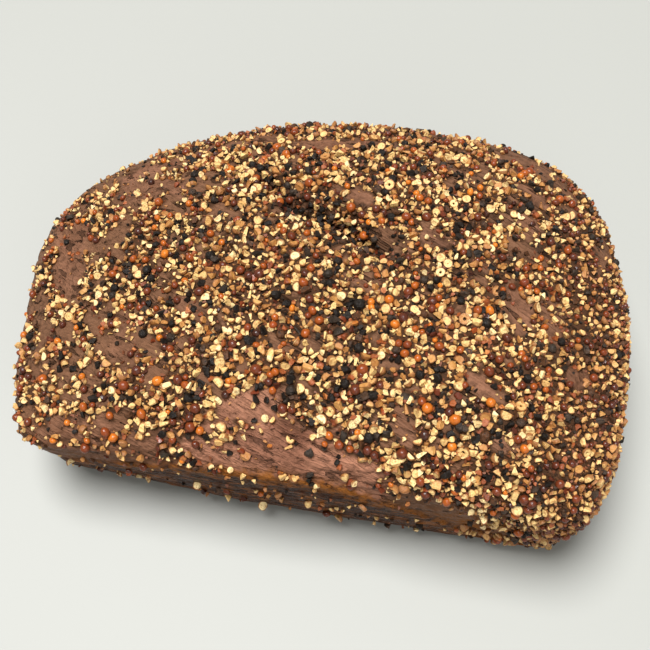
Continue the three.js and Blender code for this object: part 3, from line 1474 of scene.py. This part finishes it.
    @staticmethod
    def _crumb(rng: np.random.Generator) -> bpy.types.Mesh:
        """Makes a small angular bit.

        Args:
            rng: Random numbers.

        Returns:
            The crumb's mesh.
        """
        work = bmesh.new()
        for point in rng.normal(size=(8, 3)):
            work.verts.new(Vector(point).normalized() * rng.uniform(0.7, 1.0))
        hull = bmesh.ops.convex_hull(work, input=work.verts)
        bmesh.ops.delete(work, geom=hull["geom_interior"], context="VERTS")
        return finish_grain(work)


# How close two points of a grain are merged, in its radii, and from which angle an edge of it is sharp.
GRAIN_WELD = 0.02
GRAIN_SHARP_DEGREES = 38.0


def finish_grain(work: bmesh.types.BMesh) -> bpy.types.Mesh:
    """Turns a grain's faces outwards, notes where each point was in the whole grain and centres it.

    Args:
        work: The grain, which is freed.

    Returns:
        The mesh, smooth on its skin and sharp along its breaks, with a largest radius of 1.
    """
    bmesh.ops.remove_doubles(work, verts=work.verts, dist=GRAIN_WELD)
    bmesh.ops.recalc_face_normals(work, faces=work.faces)
    bmesh.ops.triangulate(work, faces=work.faces)
    mesh = bpy.data.meshes.new("grain")
    work.to_mesh(mesh)
    work.free()
    place = read_vectors(mesh.vertices, "co")
    inside = mesh.attributes.new("grain", "FLOAT_VECTOR", "POINT")
    inside.data.foreach_set("vector", place.astype(np.float32).ravel())
    centred = place - (place.min(axis=0) + place.max(axis=0)) / 2.0
    centred /= np.linalg.norm(centred, axis=1).max()
    mesh.vertices.foreach_set("co", centred.ravel())
    mesh.polygons.foreach_set("use_smooth", np.ones(len(mesh.polygons), dtype=bool))
    mesh.set_sharp_from_angle(angle=math.radians(GRAIN_SHARP_DEGREES))
    mesh.update()
    return mesh


# ---- Topping --------------------------------------------------------------------------------------------


class Layer(Enum):
    """The three sowings of the topping.

    Each holds its seed, the least spacing in mm, the most grains per mm2 before the spacing thins them, and
    how many mm it keeps clear of the coarse grains.
    """

    COARSE = (101, 2.65, 0.28, 0.0)
    MIDDLE = (202, 1.5, 1.4, 1.6)
    FINE = (303, 1.1, 1.3, 1.0)

    @property
    def random_seed(self) -> int:
        """The sowing's random seed."""
        return self.value[0]

    @property
    def spacing(self) -> float:
        """The least distance between two of its grains, in metres."""
        return self.value[1] * MM

    @property
    def most(self) -> float:
        """The most grains on a square metre, before the spacing thins them."""
        return self.value[2] / MM ** 2

    @property
    def clearance(self) -> float:
        """The distance kept from the coarse grains, in metres."""
        return self.value[3] * MM


class Look(Enum):
    """The looks of the topping, each with its name and the record's material slot."""

    PALE = ("pale", "topping_pale")
    SEED = ("seed", "topping_seed")
    SPLIT = ("split", "topping_seed")
    HUSK = ("husk", "topping_seed")
    BLACK = ("black", "topping_black")
    CRUMB = ("crumb", "topping_pale")

    @property
    def slot(self) -> str:
        """The record's material slot."""
        return self.value[1]


def make_looks() -> dict[Look, bpy.types.Material]:
    """Writes the materials of the topping.

    Returns:
        One material for each look.
    """
    finishes = {
        Look.PALE: CrackedPepperFinish(),
        Look.SEED: SeedFinish(),
        Look.SPLIT: CrackedPepperFinish(
            name="cracked_seed", cream=colour(196, 122, 52), straw=colour(152, 80, 34),
            ochre=colour(118, 58, 28), heart=colour(84, 42, 24),
            skin_light=colour(150, 72, 28), skin_dark=colour(84, 38, 22),
        ),
        Look.HUSK: SeedFinish(
            name="dark_husk", lightest=colour(146, 68, 28), light=colour(112, 50, 26),
            deep=colour(84, 40, 26), deepest=colour(56, 30, 22),
        ),
        Look.BLACK: BlackPepperFinish(),
        Look.CRUMB: CrumbFinish(),
    }
    return {look: finish.build() for look, finish in finishes.items()}


@dataclass(frozen=True)
class Sort:
    """One sort of grain: which share of a sowing's pale or dark grains it takes, and how they lie.

    The lift, in radii, is how far the grains stand off the skin, and the tilt how far they may tip over.
    """

    name: str
    form: GrainForm
    layer: Layer
    look: Look
    share: tuple[float, float]
    diameter_mm: tuple[float, float]
    lift: float
    tilt_degrees: float = 180.0
    dark: bool = False


@dataclass
class Topping:
    """Scatters every sort of grain over the crust."""

    crust: bpy.types.Object
    shapes: GrainShapes
    sorts: tuple[Sort, ...] = (
        Sort("coriander_seeds", GrainForm.SEED, Layer.COARSE, Look.SEED,
             share=(0.0, 0.17), diameter_mm=(2.6, 3.8), lift=0.35),
        Sort("pale_pepper_halves", GrainForm.HALF, Layer.COARSE, Look.PALE,
             share=(0.17, 0.19), diameter_mm=(3.0, 4.0), lift=0.3, tilt_degrees=55),
        Sort("pepper_slices", GrainForm.SLICE, Layer.COARSE, Look.PALE,
             share=(0.19, 0.205), diameter_mm=(3.2, 4.2), lift=0.3, tilt_degrees=35),
        Sort("pepper_rings", GrainForm.RING, Layer.COARSE, Look.PALE,
             share=(0.205, 0.215), diameter_mm=(3.4, 4.4), lift=0.3, tilt_degrees=25),
        Sort("pepper_crescents", GrainForm.CRESCENT, Layer.COARSE, Look.PALE,
             share=(0.215, 0.24), diameter_mm=(3.2, 4.2), lift=0.3, tilt_degrees=35),
        Sort("pale_pepper_chunks", GrainForm.CHUNK, Layer.COARSE, Look.PALE,
             share=(0.24, 1.0), diameter_mm=(2.7, 4.3), lift=0.35, tilt_degrees=55),
        Sort("black_peppercorns", GrainForm.CORN, Layer.COARSE, Look.BLACK,
             share=(0.0, 0.12), diameter_mm=(3.2, 4.2), lift=0.25, dark=True),
        Sort("black_pepper_chunks", GrainForm.DARK_CHUNK, Layer.COARSE, Look.BLACK,
             share=(0.12, 0.9), diameter_mm=(2.9, 4.6), lift=0.25, dark=True),
        Sort("dark_seeds", GrainForm.SEED, Layer.COARSE, Look.HUSK,
             share=(0.9, 1.0), diameter_mm=(2.6, 3.6), lift=0.3, dark=True),
        Sort("pale_pepper_chips", GrainForm.CHUNK, Layer.MIDDLE, Look.PALE,
             share=(0.0, 0.45), diameter_mm=(2.0, 3.4), lift=0.35, tilt_degrees=60),
        Sort("pale_pepper_splinters", GrainForm.SPLINTER, Layer.MIDDLE, Look.PALE,
             share=(0.45, 0.7), diameter_mm=(1.9, 3.3), lift=0.35, tilt_degrees=70),
        Sort("seed_splinters", GrainForm.SPLINTER, Layer.MIDDLE, Look.SPLIT,
             share=(0.7, 0.9), diameter_mm=(1.8, 3.2), lift=0.3),
        Sort("mustard_seeds", GrainForm.SEED, Layer.MIDDLE, Look.SEED,
             share=(0.9, 1.0), diameter_mm=(1.8, 2.8), lift=0.35),
        Sort("black_pepper_chips", GrainForm.DARK_CHUNK, Layer.MIDDLE, Look.BLACK,
             share=(0.0, 0.68), diameter_mm=(1.8, 3.4), lift=0.25, dark=True),
        Sort("seed_husks", GrainForm.DARK_CHUNK, Layer.MIDDLE, Look.HUSK,
             share=(0.68, 1.0), diameter_mm=(1.8, 3.3), lift=0.25, dark=True),
        Sort("pale_crumbs", GrainForm.CRUMB, Layer.FINE, Look.CRUMB,
             share=(0.0, 1.0), diameter_mm=(1.0, 2.1), lift=0.25),
        Sort("black_crumbs", GrainForm.CRUMB, Layer.FINE, Look.BLACK,
             share=(0.0, 1.0), diameter_mm=(1.0, 2.2), lift=0.25, dark=True),
    )
    pieces: list[bpy.types.Object] = field(default_factory=list, init=False)

    def build(self) -> list[bpy.types.Object]:
        """Scatters every sort.

        Returns:
            One plain mesh object for each sort.
        """
        tree = ScatterTree()
        looks = make_looks()
        for sort in self.sorts:
            piece = bpy.data.objects.new(sort.name, self.crust.data)
            bpy.context.collection.objects.link(piece)
            tree.sow(piece, sort, self.shapes.bins[sort.form], looks[sort.look])
            settle_modifiers(piece)
            self.pieces.append(piece)
            LOG.info("%s: %d triangles", sort.name, len(piece.data.polygons))
        return self.pieces


class Draw(Enum):
    """What is drawn at random for each grain, with the seed of that draw."""

    SORT = 1
    VARIANT = 3
    RADIUS = 5
    TURN = 7
    TINT = 9


class ScatterTree:
    """The Geometry Nodes that stand one sort of grain on the crust."""

    INPUTS = {
        "Spacing": "Float", "Most": "Float", "Seed": "Int", "Clearance": "Float", "Dark": "Bool",
        "Share From": "Float", "Share To": "Float", "Radius From": "Float", "Radius To": "Float",
        "Tilt": "Float", "Lift": "Float", "Grains": "Collection", "Finish": "Material",
    }
    LAST_VARIANT = 999
    SMALL_BIAS = 1.35

    def __init__(self) -> None:
        """Writes the node tree."""
        self.tree = bpy.data.node_groups.new("sow_grains", "GeometryNodeTree")
        self.sockets: dict[str, bpy.types.NodeTreeInterfaceSocket] = {}
        self.tree.interface.new_socket("Geometry", in_out="INPUT", socket_type="NodeSocketGeometry")
        self.tree.interface.new_socket("Geometry", in_out="OUTPUT", socket_type="NodeSocketGeometry")
        for name, kind in self.INPUTS.items():
            self.sockets[name] = self.tree.interface.new_socket(
                name, in_out="INPUT", socket_type=f"NodeSocket{kind}")
        self._write(NodeWriter(self.tree))

    def sow(self, piece: bpy.types.Object, sort: Sort, grains: bpy.types.Collection,
            finish: bpy.types.Material) -> None:
        """Adds the tree to a piece as a modifier, with the sort's values.

        Args:
            piece: An object with the crust's mesh.
            sort: The sort of grain.
            grains: Its variants.
            finish: Its material.
        """
        modifier = piece.modifiers.new("sow", "NODES")
        modifier.node_group = self.tree
        values = {
            "Spacing": sort.layer.spacing,
            "Most": sort.layer.most,
            "Seed": sort.layer.random_seed,
            "Clearance": sort.layer.clearance,
            "Dark": sort.dark,
            "Share From": sort.share[0],
            "Share To": sort.share[1],
            "Radius From": sort.diameter_mm[0] / 2 * MM,
            "Radius To": sort.diameter_mm[1] / 2 * MM,
            "Tilt": math.radians(sort.tilt_degrees),
            "Lift": sort.lift,
            "Grains": grains,
            "Finish": finish,
        }
        for name, value in values.items():
            modifier[self.sockets[name].identifier] = value

    def _write(self, nodes: NodeWriter) -> None:
        """Writes the nodes.

        Args:
            nodes: The tree's writer.
        """
        given = nodes.add("NodeGroupInput").outputs
        sown = self._sowing(nodes, given["Geometry"], given["Spacing"], given["Most"], given["Seed"])
        coarse = self._sowing(nodes, given["Geometry"], Layer.COARSE.spacing, Layer.COARSE.most,
                              Layer.COARSE.random_seed)
        to_coarse = nodes.add("GeometryNodeProximity", {0: coarse.outputs["Points"]}, target_element="POINTS")
        crowded = nodes.maths("LESS_THAN", to_coarse.outputs["Distance"], given["Clearance"])
        kept = nodes.add("GeometryNodeDeleteGeometry", {
            "Geometry": sown.outputs["Points"],
            "Selection": nodes.maths("MAXIMUM", crowded, self._out_of_share(nodes, given)),
        }, domain="POINT")
        radius = self._radius(nodes, given)
        height = nodes.maths("MULTIPLY", radius, given["Lift"])
        upward = {0: sown.outputs["Normal"], "Scale": height}
        lift = nodes.add("ShaderNodeVectorMath", upward, operation="SCALE").outputs[0]
        raised = nodes.add("GeometryNodeSetPosition", {"Geometry": kept.outputs[0], "Offset": lift})
        grains = nodes.add("GeometryNodeCollectionInfo", {
            "Collection": given["Grains"], "Separate Children": True, "Reset Children": True})
        stood = nodes.add("GeometryNodeInstanceOnPoints", {
            "Points": raised.outputs[0],
            "Instance": grains.outputs[0],
            "Pick Instance": True,
            "Instance Index": self._random(nodes, 0, self.LAST_VARIANT, Draw.VARIANT, "INT"),
            "Rotation": self._rotation(nodes, given, sown.outputs["Rotation"]),
            "Scale": radius,
        })
        tinted = nodes.add("GeometryNodeStoreNamedAttribute", {
            "Geometry": stood.outputs[0], "Name": "tint", "Value": self._tint(nodes),
        }, data_type="FLOAT", domain="INSTANCE")
        solid = nodes.add("GeometryNodeRealizeInstances", {"Geometry": tinted.outputs[0]})
        finished = nodes.add("GeometryNodeSetMaterial", {
            "Geometry": solid.outputs[0], "Material": given["Finish"]})
        nodes.add("NodeGroupOutput", {0: finished.outputs[0]})

    def _sowing(self, nodes: NodeWriter, crust: Socket, spacing: object, most: object,
                seed: object) -> bpy.types.Node:
        """Adds the node that sows points over the crust.

        Args:
            nodes: The tree's writer.
            crust: The crust's mesh.
            spacing: Least distance between two points.
            most: Most points on a square metre.
            seed: Fixes the sowing.

        Returns:
            The node.
        """
        return nodes.add("GeometryNodeDistributePointsOnFaces", {
            "Mesh": crust,
            "Distance Min": spacing,
            "Density Max": most,
            "Density Factor": self._named(nodes, "coat"),
            "Seed": seed,
        }, distribute_method="POISSON")

    @staticmethod
    def _named(nodes: NodeWriter, name: str) -> Socket:
        """Reads one of the crust's painted fields."""
        node = nodes.add("GeometryNodeInputNamedAttribute", {"Name": name}, data_type="FLOAT")
        return nodes.pick(node.outputs, "Attribute")

    @staticmethod
    def _random(nodes: NodeWriter, low: object, high: object, draw: Draw, kind: str = "FLOAT") -> Socket:
        """Adds a random value for each grain.

        Args:
            nodes: The tree's writer.
            low: Least value.
            high: Most value.
            draw: What is drawn, which fixes the result.
            kind: FLOAT, INT or FLOAT_VECTOR.

        Returns:
            The value.
        """
        inputs = {"Min": low, "Max": high, "Seed": draw.value}
        node = nodes.add("FunctionNodeRandomValue", inputs, data_type=kind)
        return nodes.pick(node.outputs, "Value")

    def _out_of_share(self, nodes: NodeWriter, given: bpy.types.bpy_prop_collection) -> Socket:
        """Tells which points of the sowing belong to other sorts.

        Every sort of one sowing sees the same points and the same draw. Draws below the crust's dark field
        are for the dark sorts, the others for the pale ones, and each sort takes its own share of them.

        Args:
            nodes: The tree's writer.
            given: The tree's inputs.

        Returns:
            True where the point is another sort's.
        """
        dark = self._named(nodes, "dark")
        draw = self._random(nodes, 0.0, 1.0, Draw.SORT)
        in_dark = nodes.maths("DIVIDE", draw, dark)
        past_dark = nodes.maths("SUBTRACT", draw, dark)
        in_pale = nodes.maths("DIVIDE", past_dark, nodes.maths("SUBTRACT", 1.0, dark))
        switch = nodes.add("GeometryNodeSwitch", {"Switch": given["Dark"], "False": in_pale, "True": in_dark},
                           input_type="FLOAT")
        place = switch.outputs[0]
        below = nodes.maths("LESS_THAN", place, given["Share From"])
        above = nodes.maths("SUBTRACT", 1.0, nodes.maths("LESS_THAN", place, given["Share To"]))
        return nodes.maths("MAXIMUM", below, above)

    def _radius(self, nodes: NodeWriter, given: bpy.types.bpy_prop_collection) -> Socket:
        """Draws each grain's radius, small ones more often, finer where the crust's coarse field is low.

        Args:
            nodes: The tree's writer.
            given: The tree's inputs.

        Returns:
            The radius in metres.
        """
        draw = nodes.maths("POWER", self._random(nodes, 0.0, 1.0, Draw.RADIUS), self.SMALL_BIAS)
        reach = nodes.maths("SUBTRACT", given["Radius To"], given["Radius From"])
        plain = nodes.maths("MULTIPLY_ADD", draw, reach, given["Radius From"])
        return nodes.maths("MULTIPLY", plain, self._named(nodes, "coarse"))

    def _tint(self, nodes: NodeWriter) -> Socket:
        """Draws each grain's tint, and moves it towards 1 where the crust's brown field says so.

        Args:
            nodes: The tree's writer.

        Returns:
            The tint, 0 to 1.
        """
        brown = self._named(nodes, "brown")
        plain = nodes.maths("SUBTRACT", 1.0, brown)
        return nodes.maths("MULTIPLY_ADD", self._random(nodes, 0.0, 1.0, Draw.TINT), plain, brown)

    def _rotation(self, nodes: NodeWriter, given: bpy.types.bpy_prop_collection, upright: Socket) -> Socket:
        """Turns each grain freely about the crust's normal and tips it by up to the tilt.

        Args:
            nodes: The tree's writer.
            given: The tree's inputs.
            upright: The rotation that stands a grain on the crust.

        Returns:
            The grain's rotation.
        """
        most = given["Tilt"]
        least = nodes.maths("MULTIPLY", most, -1.0)
        low = nodes.add("ShaderNodeCombineXYZ", {"X": least, "Y": least, "Z": -math.pi}).outputs[0]
        high = nodes.add("ShaderNodeCombineXYZ", {"X": most, "Y": most, "Z": math.pi}).outputs[0]
        turn = nodes.add("FunctionNodeEulerToRotation", {
            0: self._random(nodes, low, high, Draw.TURN, "FLOAT_VECTOR")})
        both = nodes.add("FunctionNodeRotateRotation", {"Rotation": upright, "Rotate By": turn.outputs[0]},
                         rotation_space="LOCAL")
        return both.outputs[0]


# ---- Studio ---------------------------------------------------------------------------------------------


@dataclass(frozen=True)
class Lamp:
    """A soft light that faces the loaf. A sun is far off, so it is as strong all over the counter.

    The place is in metres. The breadth is an angle in degrees for a sun and a side in metres for an area.
    """

    name: str
    kind: str
    place: tuple[float, float, float]
    breadth: float
    strength: float

    def stand(self) -> None:
        """Adds the light."""
        light = bpy.data.lights.new(self.name, self.kind)
        light.energy = self.strength
        if self.kind == "SUN":
            light.angle = math.radians(self.breadth)
        else:
            light.size = self.breadth
        lamp = bpy.data.objects.new(self.name, light)
        bpy.context.collection.objects.link(lamp)
        lamp.location = self.place
        lamp.rotation_euler = Vector(self.place).to_track_quat("Z", "Y").to_euler()


@dataclass(frozen=True)
class Studio:
    """Camera, soft lights and the pale counter, in metres and degrees."""

    azimuth: float = 9.2
    elevation: float = 70.0
    distance: float = 0.42
    aim: tuple[float, float, float] = (0.0029, -0.0111, 0.045)
    lens_mm: float = 66.8
    sensor_mm: float = 36.0
    roll: float = 0.34
    nearest: float = 0.01
    overhead: Lamp = Lamp("overhead", "SUN", (-0.15, 0.11, 0.82), 28.0, 5.6)
    front: Lamp = Lamp("front", "AREA", (0.45, -0.66, 0.51), 0.8, 2.5)
    air: Colour = (1.0, 0.97, 0.91, 1.0)
    air_strength: float = 0.31
    counter_half: float = 20.0
    counter_gap: float = 0.0002

    def build(self) -> None:
        """Makes the camera, the lights and the counter."""
        self._camera()
        self.overhead.stand()
        self.front.stand()
        world = bpy.data.worlds.new("studio_air")
        bpy.context.scene.world = world
        world.use_nodes = True
        background = world.node_tree.nodes["Background"]
        background.inputs["Color"].default_value = self.air
        background.inputs["Strength"].default_value = self.air_strength
        self._counter()
        bpy.context.scene.view_settings.view_transform = "Standard"

    def _camera(self) -> None:
        """Places the camera on its sight line, a hair rolled."""
        lens = bpy.data.cameras.new("camera")
        lens.lens = self.lens_mm
        lens.sensor_width = self.sensor_mm
        lens.clip_start = self.nearest
        camera = bpy.data.objects.new("camera", lens)
        bpy.context.collection.objects.link(camera)
        azimuth = math.radians(self.azimuth)
        elevation = math.radians(self.elevation)
        back = Vector((math.sin(azimuth) * math.cos(elevation), -math.cos(azimuth) * math.cos(elevation),
                       math.sin(elevation)))
        camera.location = Vector(self.aim) + back * self.distance
        turn = back.to_track_quat("Z", "Y").to_matrix() @ Matrix.Rotation(math.radians(self.roll), 3, "Z")
        camera.rotation_euler = turn.to_euler()
        bpy.context.scene.camera = camera

    def _counter(self) -> None:
        """Lays the counter just clear of the loaf's underside."""
        work = bmesh.new()
        bmesh.ops.create_grid(work, x_segments=1, y_segments=1, size=self.counter_half)
        mesh = bpy.data.meshes.new("counter")
        work.to_mesh(mesh)
        work.free()
        mesh.materials.append(CounterFinish().build())
        counter = bpy.data.objects.new("counter", mesh)
        bpy.context.collection.objects.link(counter)
        counter.location.z = -self.counter_gap


# ---- Assembly -------------------------------------------------------------------------------------------


def attach(piece: bpy.types.Object, slot: str) -> None:
    """Ties a finished piece to the loaf's body, hides the loaf's CAD node and logs the piece's material slot.

    Args:
        piece: The piece.
        slot: The record's material slot.
    """
    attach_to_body(piece, ROOT_BODY)
    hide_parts(LOAF_NODE)
    LOG.info("%s: %d faces in slot %s", piece.name, len(piece.data.polygons), slot)


def main() -> None:
    """Builds the studio, the crust and the topping."""
    logging.basicConfig(level=logging.INFO, format="%(name)s: %(message)s")
    Studio().build()
    crust = LoafCrust()
    crust.build()
    shapes = GrainShapes()
    shapes.build()
    topping = Topping(crust.piece, shapes)
    topping.build()
    shapes.clear()
    crust.dress(CrustFinish())
    attach(crust.piece, "crust")
    for sort, piece in zip(topping.sorts, topping.pieces):
        attach(piece, sort.look.slot)


if __name__ == "__main__":
    main()
